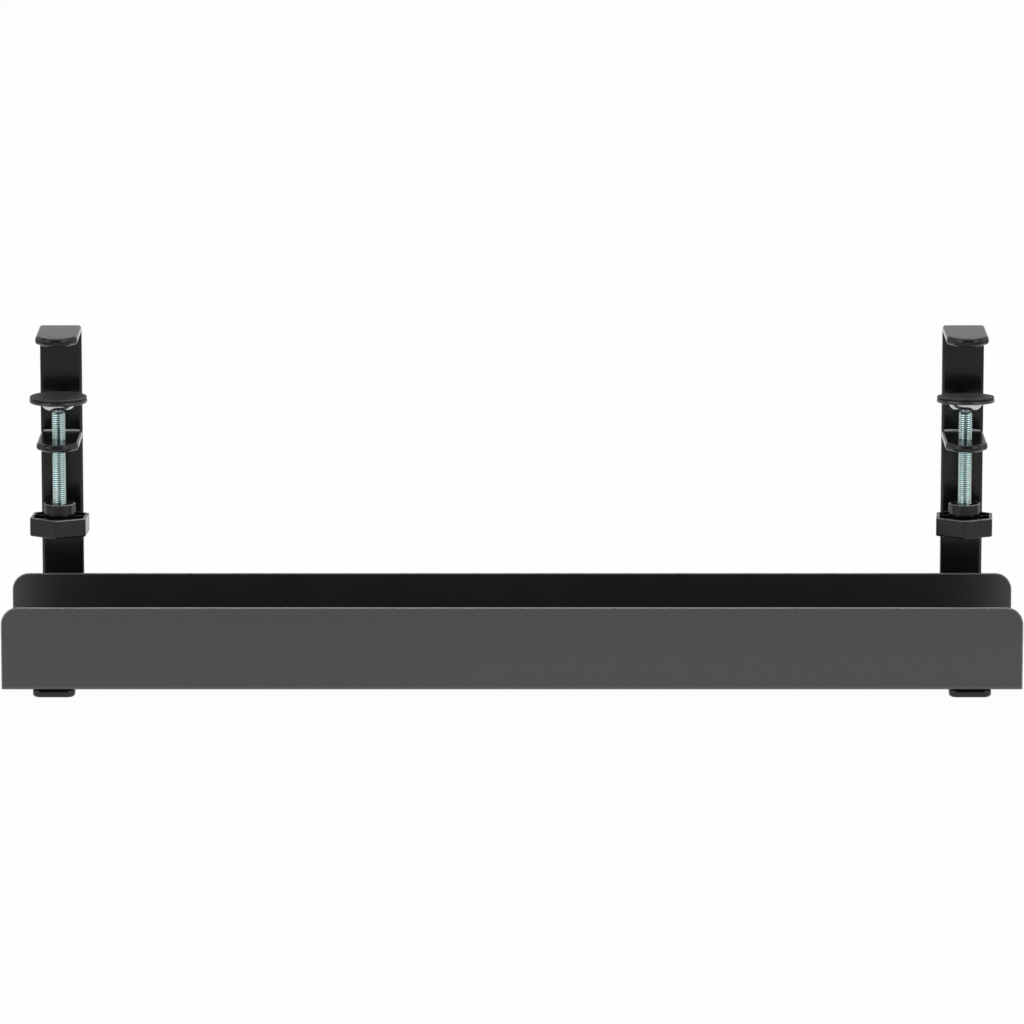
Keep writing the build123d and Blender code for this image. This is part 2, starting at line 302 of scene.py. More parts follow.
@dataclass(frozen=True)
class Finish:
    """What every finish has: a name, a colour and a shine.

    Attributes:
        name: The material's name.
        colour: Its base colour, linear.
        roughness: The surface's roughness on average.
    """

    name: str
    colour: Colour
    roughness: float

    def material(self) -> bpy.types.Material:
        """The material, made the first time that it is asked for."""
        found = bpy.data.materials.get(self.name)
        if found is not None:
            return found
        material = bpy.data.materials.new(self.name)
        material.use_nodes = True
        material.diffuse_color = (*self.colour, 1.0)
        nodes = NodeTree(material.node_tree)
        shader = nodes.add("BsdfPrincipled")
        output = nodes.add("OutputMaterial")
        nodes.feed(output.inputs["Surface"], shader.outputs[0])
        self.surface(nodes, shader)
        return material

    def surface(self, nodes: NodeTree, shader: bpy.types.Node) -> None:
        """Adds the finish's nodes to the material's tree and feeds its Principled shader."""
        raise NotImplementedError

    def bump(self, nodes: NodeTree, shader: bpy.types.Node, height: Socket, depth: float) -> None:
        """Adds relief from a height of about 0 to 1, as deep as the depth in millimetres."""
        node = nodes.add("Bump", {"Height": height, "Strength": 1.0, "Distance": depth * MM})
        nodes.feed(shader.inputs["Normal"], node.outputs[0])

    def shade(self, factor: float) -> Colour:
        """The base colour, lighter or darker by a factor."""
        return tuple(channel * factor for channel in self.colour)


@dataclass(frozen=True)
class WearAndHighlightFinish(Finish):
    """A coat, rubber or plastic with a grain, drifting tone, edges with wear and a painted highlight, and
    settled dust.

    Attributes:
        specular: The shader's specular level.
        wave_size: Spacing of the surface's soft waves in millimetres.
        grain_size: Spacing of the grain on them in millimetres.
        grain_share: Height of the grain as a share of the waves'.
        relief: Height of the waves in millimetres.
        drift_size: Spacing of the slow changes of tone in millimetres.
        tones: Darkest and lightest tone, as shares of the colour.
        rough_drift: How much the roughness changes with them.
        speckle: How much the grain shows as lighter specks.
        side_shade: Painted shade on the faces that don't look up, as a share of the colour.
        edge_radius: How far from an edge the wear and the painted highlight reach, in millimetres.
        edge_share: How much of the edge colour shows there.
        edge_colour: The edge colour, a painted highlight where it is lighter than the colour.
        edge_upward: How far up a face looks where its edges' painted highlight begins and is full, if that
            matters.
        edge_shine: How much smoother the worn edges are.
        edge_gloss: Weight of the clear, glossy skin over the edges.
        dust: Share of dust on faces that look up.
        dust_size: Size of its patches in millimetres.
        dust_colour: Its colour.
        dust_dulls: How much rougher it makes the surface.
    """

    specular: float = 0.5
    wave_size: float = 1.8
    grain_size: float = 0.25
    grain_share: float = 0.35
    relief: float = 0.012
    drift_size: float = 35.0
    tones: Pair = (0.94, 1.06)
    rough_drift: float = 0.03
    speckle: float = 0.0
    side_shade: float = 1.0
    edge_radius: float = 0.5
    edge_share: float = 1.0
    edge_colour: Colour = (0.2, 0.2, 0.2)
    edge_upward: Pair | None = None
    edge_shine: float = 0.0
    edge_gloss: float = 0.0
    dust: float = 0.1
    dust_size: float = 3.0
    dust_colour: Colour = (0.3, 0.3, 0.29)
    dust_dulls: float = 0.0

    def edge_mask(self, nodes: NodeTree) -> bpy.types.NodeSocket:
        """Where the edges are worn and carry the painted highlight, from 0 to 1."""
        mask = EdgeMask().place(nodes, Radius=self.edge_radius, Strength=self.edge_share)["Mask"]
        if self.edge_upward is None:
            return mask
        return nodes.math("MULTIPLY", mask, nodes.span(nodes.upward(), self.edge_upward))

    def base(self, nodes: NodeTree, drift: Socket, grain: Socket) -> bpy.types.NodeSocket:
        """Colour of the surface away from edges and dust, with painted shade on faces that don't look up.

        Args:
            nodes: The material's tree.
            drift: The slow change of tone.
            grain: The surface's grain.

        Returns:
            The colour.
        """
        toned = nodes.mix(drift, self.shade(self.tones[0]), self.shade(self.tones[1]))
        if self.speckle:
            specks = nodes.span(grain, (0.35, 0.75), (0.0, self.speckle))
            toned = nodes.mix(specks, toned, self.shade(1.5))
        # painted shade: faces that don't look up are darkened by the side shade
        if self.side_shade != 1.0:
            toned = nodes.mix(nodes.span(nodes.upward(), (-0.1, 0.3)), self.shade(self.side_shade), toned)
        return toned

    def surface(self, nodes: NodeTree, shader: bpy.types.Node) -> None:
        """Adds the base colour, the edges' wear and painted highlight, dust and the texture's relief."""
        sizes = {"Wave_Size": self.wave_size, "Grain_Size": self.grain_size}
        texture = CoatTexture().place(nodes, Grain_Share=self.grain_share, **sizes)
        drift = Drift().place(nodes, Size=self.drift_size)["Value"]
        edge = self.edge_mask(nodes)
        dust = SettledDust().place(nodes, Amount=self.dust, Size=self.dust_size)["Mask"]
        # painted highlight: the edge colour, lighter than the base on most finishes, draws light lines
        # along the edges
        edge_highlighted = nodes.mix(edge, self.base(nodes, drift, texture["Grain"]), self.edge_colour)
        nodes.feed(shader.inputs["Base Color"], nodes.mix(dust, edge_highlighted, self.dust_colour))
        rough = nodes.math("MULTIPLY", drift, self.rough_drift)
        rough = nodes.math("ADD", rough, self.roughness - self.rough_drift / 2)
        for mask, change in ((edge, -self.edge_shine), (dust, self.dust_dulls)):
            if change:
                rough = nodes.math("ADD", rough, nodes.math("MULTIPLY", mask, change))
        nodes.feed(shader.inputs["Roughness"], rough)
        shader.inputs["Specular IOR Level"].default_value = self.specular
        if self.edge_gloss:
            gloss = nodes.math("MULTIPLY", edge, self.edge_gloss / self.edge_share)
            nodes.feed(shader.inputs["Coat Weight"], gloss)
            shader.inputs["Coat IOR"].default_value = CLEAR_SKIN_IOR
            shader.inputs["Coat Roughness"].default_value = CLEAR_SKIN_ROUGHNESS
        self.bump(nodes, shader, texture["Height"], self.relief)


@dataclass(frozen=True)
class PowderCoat(WearAndHighlightFinish):
    """Baked powder on steel, shinier over the edges, where a light edge colour is a painted highlight, with
    a little dust.
    """

    speckle: float = 0.25
    edge_shine: float = 0.06
    dust_size: float = 6.0
    dust_colour: Colour = (0.35, 0.34, 0.32)
    dust_dulls: float = 0.5


@dataclass(frozen=True)
class Plating(Finish):
    """Bright metal plating with faint streaks.

    Attributes:
        second_colour: The tint that patches of the plating take.
        patch_size: Size of these patches in millimetres.
        streak: How much the roughness changes along the streaks.
        line_depth: Depth of the hair lines in millimetres.
        edge_radius: How far from an edge the plating is rubbed, in millimetres.
        edge_share: How much of the rubbed colour shows there.
        edge_colour: The rubbed colour.
    """

    second_colour: Colour
    patch_size: float = 4.0
    streak: float = 0.12
    line_depth: float = 0.002
    edge_radius: float = 0.15
    edge_share: float = 0.35
    edge_colour: Colour = (0.9, 0.93, 0.94)

    def surface(self, nodes: NodeTree, shader: bpy.types.Node) -> None:
        """Adds two tints, streaks in the shine and fine hair lines."""
        drift = Drift().place(nodes, Size=self.patch_size)["Value"]
        lines = FineLines().place(nodes)["Value"]
        edge = EdgeMask().place(nodes, Radius=self.edge_radius, Strength=self.edge_share)["Mask"]
        tinted = nodes.mix(drift, self.colour, self.second_colour)
        nodes.feed(shader.inputs["Base Color"], nodes.mix(edge, tinted, self.edge_colour))
        streaks = nodes.math("MULTIPLY", nodes.math("SUBTRACT", lines, 0.5), self.streak * 2)
        nodes.feed(shader.inputs["Roughness"], nodes.math("ADD", streaks, self.roughness))
        shader.inputs["Metallic"].default_value = 1.0
        self.bump(nodes, shader, lines, self.line_depth)


# painted highlight: the light edge colour draws bright lines along the sheet's edges
TRAY_COAT = PowderCoat(
    "tray_powder_coat",
    (0.037, 0.037, 0.038),
    0.3,
    specular=0.93,
    edge_radius=1.2,
    edge_colour=(0.75, 0.75, 0.76),
)
BRACKET_COAT = PowderCoat(
    "bracket_gloss_coat",
    (0.011, 0.011, 0.0115),
    0.17,
    specular=0.38,
    wave_size=2.5,
    relief=0.004,
    edge_radius=2.2,
    edge_colour=(0.012, 0.012, 0.0125),
    edge_gloss=0.19,
    dust=0.02,
)
# painted highlight: the whole bead is near white, standing in for the light that a black coated bead
# catches
WELD_PAINTED_HIGHLIGHT = PowderCoat(
    "weld_painted_highlight",
    (0.9, 0.9, 0.91),
    0.15,
    specular=1.0,
    wave_size=0.6,
    edge_share=0.5,
    edge_colour=(0.9, 0.9, 0.91),
    dust=0.0,
)
# painted highlight: the lighter edge colour draws a light line round the disc's rounded edge
PLATE_COAT = PowderCoat(
    "plate_coat",
    (0.012, 0.012, 0.013),
    0.16,
    specular=0.7,
    relief=0.004,
    edge_radius=0.6,
    edge_share=0.9,
    edge_colour=(0.2, 0.2, 0.205),
    dust=0.02,
)
# painted highlight on the rim's upper edge, from the default edge colour, and painted shade on the sides
PAD_RUBBER = WearAndHighlightFinish(
    "pad_rubber",
    (0.036, 0.036, 0.037),
    0.55,
    specular=0.35,
    wave_size=1.5,
    grain_size=0.5,
    relief=0.03,
    drift_size=9.0,
    tones=(0.9, 1.12),
    rough_drift=0.08,
    side_shade=0.15,
    edge_radius=1.2,
    edge_upward=(0.05, 0.4),
    dust=0.18,
)
# painted highlight: the near white edge colour draws light lines on the edges that look up
KNOB_PLASTIC = WearAndHighlightFinish(
    "knob_plastic",
    (0.008, 0.008, 0.0085),
    0.16,
    specular=0.4,
    wave_size=0.9,
    grain_size=0.2,
    grain_share=0.6,
    relief=0.006,
    drift_size=12.0,
    tones=(0.92, 1.1),
    rough_drift=0.06,
    edge_radius=0.75,
    edge_colour=(0.8, 0.8, 0.81),
    edge_upward=(0.02, 0.3),
    edge_shine=0.1,
    dust=0.12,
)
ZINC = Plating("bright_zinc", (0.8, 1.0, 0.98), 0.2, second_colour=(0.92, 1.0, 1.0))
# painted shade: the dark plating in the thread's roots stands in for their shade
ZINC_ROOT_PAINTED_SHADE = Plating("zinc_thread_root_painted_shade", (0.07, 0.24, 0.24), 0.3, second_colour=(0.11, 0.3, 0.3))
BALL_STEEL = Plating("ground_steel", (0.6, 0.6, 0.62), 0.16, second_colour=(0.66, 0.65, 0.64), streak=0.06)
BLACK_NICKEL = Plating(
    "black_nickel", (0.46, 0.46, 0.47), 0.12, second_colour=(0.52, 0.52, 0.52), streak=0.04
)


def arc_points(centre: Pair, radius: float, start: float, end: float, count: int) -> list[Pair]:
    """Points on an arc in so many steps, both ends included, between two angles in radians."""
    angles = [start + (end - start) * step / count for step in range(count + 1)]
    return [(centre[0] + radius * math.cos(a), centre[1] + radius * math.sin(a)) for a in angles]


def rounded_path(corners: Sequence[tuple[Pair, float]], steps: int = 8) -> list[Pair]:
    """An open line with its corners rounded.

    Args:
        corners: Each corner with its radius. The radii of both ends aren't used.
        steps: Steps in each arc.

    Returns:
        The line's points, without its two ends.
    """
    points: list[Pair] = []
    for before, (corner, radius), after in zip(corners, corners[1:], corners[2:]):
        middle = Vector(corner)
        back = (Vector(before[0]) - middle).normalized()
        ahead = (Vector(after[0]) - middle).normalized()
        half = back.angle(ahead) / 2
        centre = middle + (back + ahead).normalized() * radius / math.sin(half)
        first = middle + back * radius / math.tan(half) - centre
        last = middle + ahead * radius / math.tan(half) - centre
        start = math.atan2(first.y, first.x)
        turn = math.remainder(math.atan2(last.y, last.x) - start, 2 * math.pi)
        points += arc_points(tuple(centre), radius, start, start + turn, steps)
    return points


def bridge(around: int, rings: int) -> list[tuple[int, ...]]:
    """Quads between rings of points.

    Args:
        around: Points in each ring.
        rings: How many rings there are.

    Returns:
        The faces, as places in the list of all points.
    """
    faces = []
    for ring in range(rings - 1):
        low, high = ring * around, (ring + 1) * around
        for step in range(around):
            after = (step + 1) % around
            faces.append((low + step, low + after, high + after, high + step))
    return faces


def mesh_object(name: str, points: Sequence[Vector], faces: Sequence[Sequence[int]]) -> bpy.types.Object:
    """A mesh with outward faces, smooth but for its creases.

    Args:
        name: The object's name.
        points: The mesh's points.
        faces: Its faces, as places in the list of points.

    Returns:
        The new object.
    """
    mesh = bpy.data.meshes.new(name)
    mesh.from_pydata([tuple(point) for point in points], [], faces)
    shaped = bmesh.new()
    shaped.from_mesh(mesh)
    bmesh.ops.recalc_face_normals(shaped, faces=shaped.faces)
    shaped.to_mesh(mesh)
    shaped.free()
    mesh.shade_smooth()
    mesh.set_sharp_from_angle(angle=CREASE)
    piece = bpy.data.objects.new(name, mesh)
    bpy.context.scene.collection.objects.link(piece)
    weighted = piece.modifiers.new("face_weighted_normals", "WEIGHTED_NORMAL")
    weighted.keep_sharp = True
    return piece


def coat(piece: bpy.types.Object, finish: Finish) -> None:
    """Gives an object one finish in all its slots."""
    piece.data.materials.clear()
    piece.data.materials.append(finish.material())


def fit_piece(piece: bpy.types.Object, finish: Finish, slot: Slot, body: str, *nodes: str) -> None:
    """Dresses a new piece and hangs it on its body.

    Args:
        piece: The object.
        finish: Its finish.
        slot: The record's slot that it belongs to; not used.
        body: The body that it moves with.
        *nodes: The nodes that it stands for.
    """
    coat(piece, finish)
    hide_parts(*nodes)
    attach(piece, body)
    log.info("%s: made, %d faces, %s", piece.name, len(piece.data.polygons), finish.name)


def keep_node(node: str, finish: Finish) -> None:
    """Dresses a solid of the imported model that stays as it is."""
    coat(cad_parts[node], finish)
    log.info("%s: kept, %s", node, finish.name)


@dataclass(frozen=True)
class Folds:
    """A line in the YZ plane that runs straight, turns a quarter towards its inner side, and runs on.

    Attributes:
        start: Y and Z of the line's beginning.
        heading: Angle of its first stretch, from +Y towards +Z, in radians.
        runs: Lengths of the straight stretches.
        radius: Radius of the turns between them.
    """

    start: Pair
    heading: float
    runs: tuple[float, ...]
    radius: float

    @property
    def turn_length(self) -> float:
        """Length of one quarter turn along the line."""
        return self.radius * math.pi / 2

    @property
    def length(self) -> float:
        """Length of the whole line."""
        return sum(self.runs) + self.turn_length * (len(self.runs) - 1)

    def turn_starts(self) -> list[float]:
        """Where each turn begins along the line."""
        turns = range(len(self.runs) - 1)
        return [sum(self.runs[: turn + 1]) + self.turn_length * turn for turn in turns]

    def stations(self, steps: int) -> list[float]:
        """Distances along the line that a mesh needs to follow each turn in so many steps."""
        parts = [self.turn_length * step / steps for step in range(steps + 1)]
        return [start + part for start in self.turn_starts() for part in parts]

    def place(self, along: float, height: float) -> Pair:
        """Y and Z of a point.

        Args:
            along: Its distance along the line.
            height: Its distance from the line, towards the inner side.

        Returns:
            Its Y and Z.
        """
        position = Vector(self.start)
        heading = self.heading
        left = along
        for number, run in enumerate(self.runs):
            ahead = Vector((math.cos(heading), math.sin(heading)))
            inner = Vector((-ahead.y, ahead.x))
            if left <= run or number == len(self.runs) - 1:
                found = position + ahead * left + inner * height
                return found.x, found.y
            left -= run
            position += ahead * run
            centre = position + inner * self.radius
            turned = min(left, self.turn_length) / self.radius
            angle = heading - math.pi / 2 + turned
            outward = Vector((math.cos(angle), math.sin(angle)))
            if left <= self.turn_length:
                found = centre + outward * (self.radius - height)
                return found.x, found.y
            left -= self.turn_length
            heading += math.pi / 2
            position = centre + outward * self.radius
        raise ValueError("a fold line needs at least one run")


@dataclass(frozen=True)
class FoldedPlate:
    """A flat plate with rounded edges, alike on both sides of its middle line, bent along that line.

    Attributes:
        folds: The line that the plate's mid plane follows.
        half_outline: Corners of one half of the flat blank, as distance along and across with a radius.
        thickness: The plate's thickness.
        edge_round: Radius of its edges.
        bend_swell: How far the inner side bulges sideways in a bend.
        turn_steps: Steps in each bend.
        round_steps: Steps over each rounded edge.
    """

    folds: Folds
    half_outline: tuple[tuple[Pair, float], ...]
    thickness: float
    edge_round: float
    bend_swell: float = 0.0
    turn_steps: int = 10
    round_steps: int = 6

    def half_chain(self) -> list[Pair]:
        """Points of one half of the blank's outline, with enough of them in the bends."""
        corners = rounded_path(self.half_outline)
        stations = self.folds.stations(self.turn_steps)
        chain = [corners[0]]
        for here, after in zip(corners, corners[1:]):
            between = [s for s in stations if here[0] + TOLERANCE < s < after[0] - TOLERANCE]
            for along in between:
                share = (along - here[0]) / (after[0] - here[0])
                chain.append((along, here[1] + (after[1] - here[1]) * share))
            chain.append(after)
        return chain

    def inset_loop(self, inset: float) -> list[Pair]:
        """The whole outline, drawn in by a distance."""
        right = self.half_chain()
        loop = [Vector(p) for p in right] + [Vector((p[0], -p[1])) for p in reversed(right)]
        drawn = []
        for index, here in enumerate(loop):
            back = (here - loop[index - 1]).normalized()
            ahead = (loop[(index + 1) % len(loop)] - here).normalized()
            inward = Vector((back.y + ahead.y, -back.x - ahead.x)).normalized()
            # a sharp corner is drawn in by no more than twice the distance
            shortened = max(0.5, inward.dot(Vector((back.y, -back.x))))
            drawn.append(tuple(here + inward * inset / shortened))
        return drawn

    def swell(self, along: float, height: float) -> float:
        """How much wider the plate is than its blank at a place in a bend."""
        for start in self.folds.turn_starts():
            share = (along - start) / self.folds.turn_length
            if 0 < share < 1:
                return self.bend_swell * math.sin(math.pi * share) ** 2 * height / (self.thickness / 2)
        return 0.0

    def build(self, name: str, middle_x: float) -> bpy.types.Object:
        """Makes the plate's mesh.

        Args:
            name: The object's name.
            middle_x: X of the plate's middle line.

        Returns:
            The new object.
        """
        quarter = [math.pi / 2 * step / self.round_steps for step in range(self.round_steps + 1)]
        upper = [
            (self.edge_round * (1 - math.sin(a)), self.thickness / 2 - self.edge_round * (1 - math.cos(a)))
            for a in quarter
        ]
        rings = upper + [(inset, -height) for inset, height in reversed(upper)]
        points: list[Vector] = []
        for inset, height in rings:
            for along, across in self.inset_loop(inset):
                y, z = self.folds.place(along, height)
                wider = math.copysign(self.swell(along, height), across)
                points.append(Vector((middle_x + across + wider, y, z)))
        around = len(points) // len(rings)
        faces = bridge(around, len(rings))
        for first in (0, around * (len(rings) - 1)):
            for step in range(around // 2 - 1):
                mate = around - 1 - step
                faces.append((first + step, first + step + 1, first + mate - 1, first + mate))
        return mesh_object(name, points, faces)


@dataclass
class Tray:
    """The cable channel, folded from one sheet.

    Attributes:
        thickness: The sheet's thickness.
        inner_bend: Inside radius of its bends.
        corner_radius: Radius of the four wall corners.
        edge_round: Radius of the cut edges.
    """

    thickness: float = 1.5 * MM
    inner_bend: float = 0.5 * MM
    corner_radius: float = 10 * MM
    edge_round: float = 0.4 * MM

    def build(self) -> bpy.types.Object:
        """Folds the channel to the size of its solid."""
        low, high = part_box("tray_channel")
        radius = self.inner_bend + self.thickness / 2
        corner = radius + self.thickness / 2
        wall = high.z - low.z - corner
        folds = Folds(
            start=(low.y + self.thickness / 2, high.z),
            heading=-math.pi / 2,
            runs=(wall, high.y - low.y - 2 * corner, wall),
            radius=radius,
        )
        half = (high.x - low.x) / 2
        length = folds.length
        outline = (
            ((0.0, 0.0), 0.0),
            ((0.0, half), self.corner_radius),
            ((length, half), self.corner_radius),
            ((length, 0.0), 0.0),
        )
        sheet = FoldedPlate(folds, outline, self.thickness, self.edge_round, turn_steps=6)
        return sheet.build("tray_sheet", (low.x + high.x) / 2)

    def dress(self) -> None:
        """Makes the channel and hangs it on the frame."""
        fit_piece(self.build(), TRAY_COAT, Slot.COAT, "frame", "tray_channel")


@dataclass
class ClampPart:
    """A sub-assembly of one clamp.

    Attributes:
        side: Which clamp it belongs to.
    """

    side: Side

    def named(self, kind: str) -> str:
        """Name of this clamp's node, body or piece of that kind."""
        return f"{self.side.value}_{kind}"


@dataclass
class Bracket(ClampPart):
    """One clamp bracket: a strip bent to a leg, an arm and a top jaw, with the lower jaw welded on.

    Attributes:
        thickness: The strip's thickness.
        inner_bend: Inside radius of its bends.
        edge_round: Radius of its edges.
        leg_corner: Radius of the leg's front corners, seen from above.
        nose_depth: Length of the slanted part of the jaw's outline.
        nose_flat: Width of the jaw's blunt tip before rounding.
        tip_radius: Radius of the tip's corners.
        side_radius: Radius where the slanted part meets the sides.
        bend_swell: How far the strip's inner side bulges in a bend.
        jaw_reach: How far the top jaw reaches forward of the arm.
    """

    thickness: float = 5 * MM
    inner_bend: float = 1.5 * MM
    edge_round: float = 1.8 * MM
    leg_corner: float = 5 * MM
    nose_depth: float = 9.6 * MM
    nose_flat: float = 12 * MM
    tip_radius: float = 9.4 * MM
    side_radius: float = 5 * MM
    bend_swell: float = 0.22 * MM
    jaw_reach: float = 52 * MM

    def build(self) -> bpy.types.Object:
        """Folds the strip to the size of its solid."""
        low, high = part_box(self.named("bracket"))
        radius = self.inner_bend + self.thickness / 2
        corner = radius + self.thickness / 2
        jaw_run = self.jaw_reach + self.thickness - corner
        folds = Folds(
            start=(low.y, low.z + self.thickness / 2),
            heading=0.0,
            runs=(high.y - low.y - corner, high.z - low.z - 2 * corner, jaw_run),
            radius=radius,
        )
        half = (high.x - low.x) / 2
        length = folds.length
        outline = (
            ((0.0, 0.0), 0.0),
            ((0.0, half), self.leg_corner),
            ((length - self.nose_depth, half), self.side_radius),
            ((length, self.nose_flat / 2), self.tip_radius),
            ((length, 0.0), 0.0),
        )
        strip = FoldedPlate(folds, outline, self.thickness, self.edge_round, self.bend_swell)
        return strip.build(self.named("bracket_strip"), (low.x + high.x) / 2)

    def dress(self) -> None:
        """Makes the bracket, hangs it on the frame and paints the lower jaw alike."""
        fit_piece(self.build(), BRACKET_COAT, Slot.COAT, "frame", self.named("bracket"))
        keep_node(self.named("lower_jaw"), BRACKET_COAT)


@dataclass
class Weld(ClampPart):
    """The bead between the lower jaw and the arm, laid in small overlapping pools.

    Attributes:
        pool_pitch: Distance from one pool to the next.
        pool_wander: Waves in that distance, each with its share of a pool and its rate along the bead.
        pool_dip: How far the bead draws in between two pools, as a share of its size.
        mean_size: The bead's size on average, as a share of its full size.
        size_wave: A slow wave in that share, with its height, its rate and where it starts.
        fullness: The bead's full size as a share of its solid.
        end_length: Length over which both ends round off.
        end_size: The least size there, as a share.
        embed: How deep the bead's corner lies in both plates.
        stations: Sections along the bead.
        steps: Steps round each section.
    """

    pool_pitch: float = 1.55 * MM
    pool_wander: tuple[Pair, ...] = ((0.22, 900.0), (0.15, 2300.0))
    pool_dip: float = 0.13
    mean_size: float = 0.97
    size_wave: tuple[float, float, float] = (0.05, 500.0, 1.0)
    fullness: float = 0.37
    end_length: float = 2.0 * MM
    end_size: float = 0.04
    embed: float = 0.3 * MM
    stations: int = 130
    steps: int = 9

    def reach(self, share: float, length: float) -> float:
        """The bead's size at a place along it, as a share of its full size.

        Args:
            share: The place, from 0 to 1.
            length: The bead's length.

        Returns:
            The share of full size.
        """
        along = share * length
        pool = along / self.pool_pitch
        for wander, rate in self.pool_wander:
            pool += wander * math.sin(along * rate)
        ripple = 1 - self.pool_dip * (1 - abs(math.sin(math.pi * pool))) ** 2
        from_end = min(along, length - along) / self.end_length
        dome = math.sqrt(max(0.0, 1 - (1 - min(1.0, from_end)) ** 2))
        height, rate, first = self.size_wave
        size = self.mean_size + height * math.sin(along * rate + first)
        return max(self.end_size, dome) * ripple * size

    def build(self) -> bpy.types.Object:
        """Lays the bead in the corner that its solid fills."""
        low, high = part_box(self.named("jaw_weld"))
        size = high.z - low.z
        length = high.x - low.x
        points = []
        for station in range(self.stations + 1):
            share = station / self.stations
            reach = size * self.fullness * self.reach(share, length)
            x = low.x + length * share
            section = arc_points((high.y, low.z), reach, math.pi / 2, math.pi, self.steps)
            section.insert(0, (high.y + self.embed, low.z + reach))
            section.append((high.y - reach, low.z - self.embed))
            section.append((high.y + self.embed, low.z - self.embed))
            points += [Vector((x, y, z)) for y, z in section]
        around = self.steps + 4
        faces = bridge(around, self.stations + 1)
        faces.append(tuple(range(around)))
        faces.append(tuple(range(around * self.stations, around * (self.stations + 1))))
        return mesh_object(self.named("weld_bead"), points, faces)

    def dress(self) -> None:
        """Makes the bead and hangs it on the frame."""
        fit_piece(self.build(), WELD_PAINTED_HIGHLIGHT, Slot.COAT, "frame", self.named("jaw_weld"))


@dataclass
class ClampScrew(ClampPart):
    """The threaded rod, with a true right-hand helix and a bore for the ball stud.

    Attributes:
        pitch: The thread's pitch.
        depth: Depth of the thread.
        end_chamfer: Length over which the thread runs out at both ends.
        end_depth: How far the ends lie under the crests, as a share of the thread's depth.
        end_gap: Rows of the thread nearer to an end than this are drawn to it.
        bore_radius: Radius of the bore for the ball stud.
        bore_depth: Its depth.
        root_share: Share of the thread's depth below which the faces are darkened with painted shade.
        steps: Columns round the rod.
        profile: The thread's rows from crest to crest, as shares of its pitch and of its depth.
    """

    pitch: float = 1.25 * MM
    depth: float = 0.66 * MM
    end_chamfer: float = 0.9 * MM
    end_depth: float = 1.1
    end_gap: float = 0.01 * MM
    bore_radius: float = 2.25 * MM
    bore_depth: float = 7 * MM
    root_share: float = 0.6
    steps: int = 48
    profile: tuple[Pair, ...] = (
        (0.0, 0.1),
        (0.06, 0.02),
        (0.18, 0.0),
        (0.3, 0.02),
        (0.36, 0.1),
        (0.48, 0.6),
        (0.59, 1.0),
        (0.72, 1.0),
        (0.87, 0.6),
    )

    def thread_points(self, radius: float, low: float, high: float) -> list[list[Pair]]:
        """Radius and height of the thread's rows, column by column.

        Args:
            radius: The thread's outer radius.
            low: Height of the rod's lower end.
            high: Height of its upper end.

        Returns:
            For each column its rows from below, some of them past the ends.
        """
        turns = math.ceil((high - low) / self.pitch) + 2
        columns = []
        for step in range(self.steps):
            lead = self.pitch * step / self.steps
            rows = []
            for turn in range(-1, turns):
                for share, dip in self.profile:
                    rows.append((radius - dip * self.depth, low + (turn + share) * self.pitch + lead))
            columns.append(rows)
        return columns

    def build(self) -> bpy.types.Object:
        """Winds the thread between the ends of its solid."""
        low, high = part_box(self.named("clamp_screw"))
        centre = (low + high) / 2
        radius = (high.x - low.x) / 2
        end_depth = self.depth * self.end_depth
        end_radius = radius - end_depth
        columns = self.thread_points(radius, low.z, high.z)
        points: list[Vector] = []

        def add_point(step: int, from_axis: float, height: float) -> int:
            """Adds a point of a column and returns its place."""
            angle = 2 * math.pi * step / self.steps
            offset = Vector((from_axis * math.cos(angle), from_axis * math.sin(angle), 0.0))
            points.append(Vector((centre.x, centre.y, height)) + offset)
            return len(points) - 1

        lower = [add_point(step, end_radius, low.z) for step in range(self.steps)]
        upper = [add_point(step, end_radius, high.z) for step in range(self.steps)]
        places = []
        for step, rows in enumerate(columns):
            column = []
            for from_axis, height in rows:
                if height <= low.z + self.end_gap:
                    column.append(lower[step])
                elif height >= high.z - self.end_gap:
                    column.append(upper[step])
                else:
                    room = min(height - low.z, high.z - height) * end_depth / self.end_chamfer
                    column.append(add_point(step, min(from_axis, end_radius + room), height))
            places.append(column)
        faces = []
        per_turn = len(self.profile)
        for step in range(self.steps):
            after = (step + 1) % self.steps
            shift = per_turn if after == 0 else 0
            for row in range(len(places[step]) - per_turn - 1):
                quad = (
                    places[step][row],
                    places[after][row + shift],
                    places[after][row + shift + 1],
                    places[step][row + 1],
                )
                corners = tuple(dict.fromkeys(quad))
                if len(corners) > 2:
                    faces.append(corners)
        bore = [(self.bore_radius, high.z), (self.bore_radius, high.z - self.bore_depth)]
        rims = [upper] + [[add_point(step, r, z) for step in range(self.steps)] for r, z in bore]
        for outer, inner in zip(rims, rims[1:]):
            for step in range(self.steps):
                after = (step + 1) % self.steps
                faces.append((outer[step], outer[after], inner[after], inner[step]))
        faces.append(tuple(rims[-1]))
        faces.append(tuple(lower))
        return mesh_object(self.named("threaded_rod"), points, faces)

    def paint_root_shade(self, rod: bpy.types.Object) -> None:
        """Paints shade into the thread's roots with a much darker plating.

        Args:
            rod: The rod.
        """
        low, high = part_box(self.named("clamp_screw"))
        centre = (low + high) / 2
        root = (high.x - low.x) / 2 - self.depth * self.root_share
        # painted shade: faces deep in the thread take the dark plating
        rod.data.materials.append(ZINC_ROOT_PAINTED_SHADE.material())
        for face in rod.data.polygons:
            middle = face.center
            if math.hypot(middle.x - centre.x, middle.y - centre.y) < root:
                face.material_index = 1

    def dress(self) -> None:
        """Makes the rod, hangs it on the turning body and shines the ball stud."""
        rod = self.build()
        fit_piece(rod, ZINC, Slot.ZINC, self.named("screw"), self.named("clamp_screw"))
        self.paint_root_shade(rod)
        keep_node(self.named("ball_stud"), BALL_STEEL)


